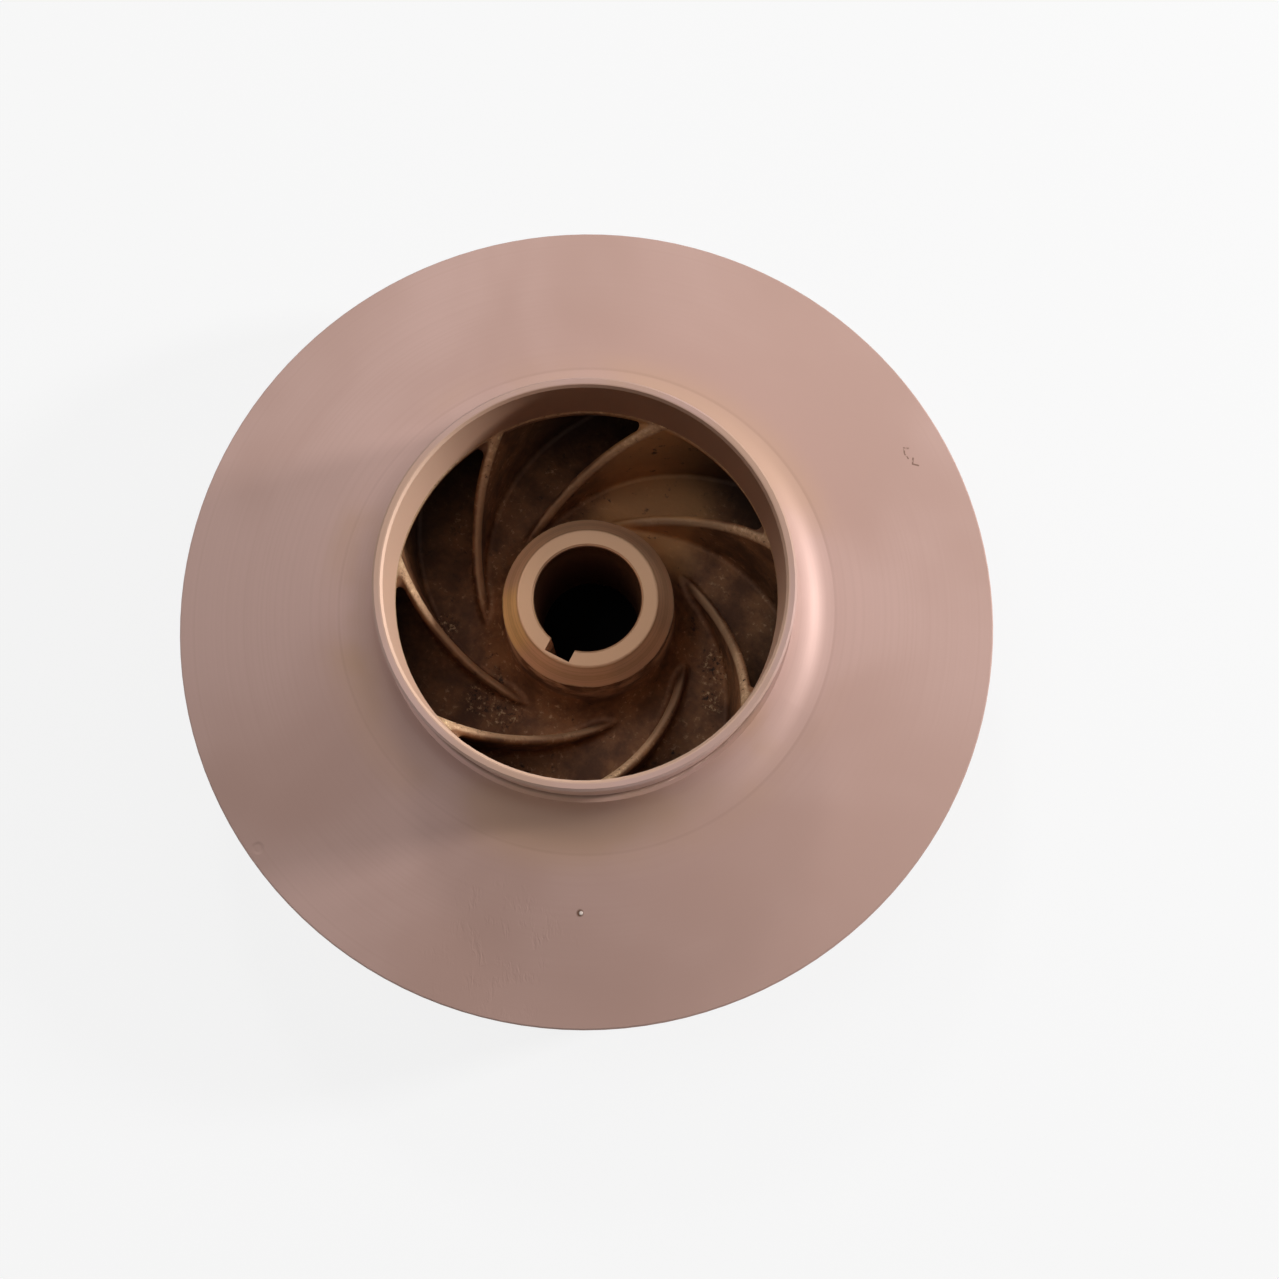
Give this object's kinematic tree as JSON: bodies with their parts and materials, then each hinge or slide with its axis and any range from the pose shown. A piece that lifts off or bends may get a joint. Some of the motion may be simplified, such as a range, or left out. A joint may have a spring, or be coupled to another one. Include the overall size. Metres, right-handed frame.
{
  "type": "pump impeller",
  "caption": "Closed centrifugal pump impeller in bronze, with swept-back vanes between two shrouds, a suction eye with a wear ring and a keyed hub bore.",
  "frame": {"origin": "on the axis of rotation, at the rear face of the hub", "axes": "+Z along the axis of rotation towards the suction eye, -Y through the middle of the keyway"},
  "size_m": [0.2968, 0.2968, 0.0897],
  "materials": {
    "bronze": "satin"
  },
  "bodies": {
    "root": {"impeller": "bronze"}
  },
  "joints": []
}
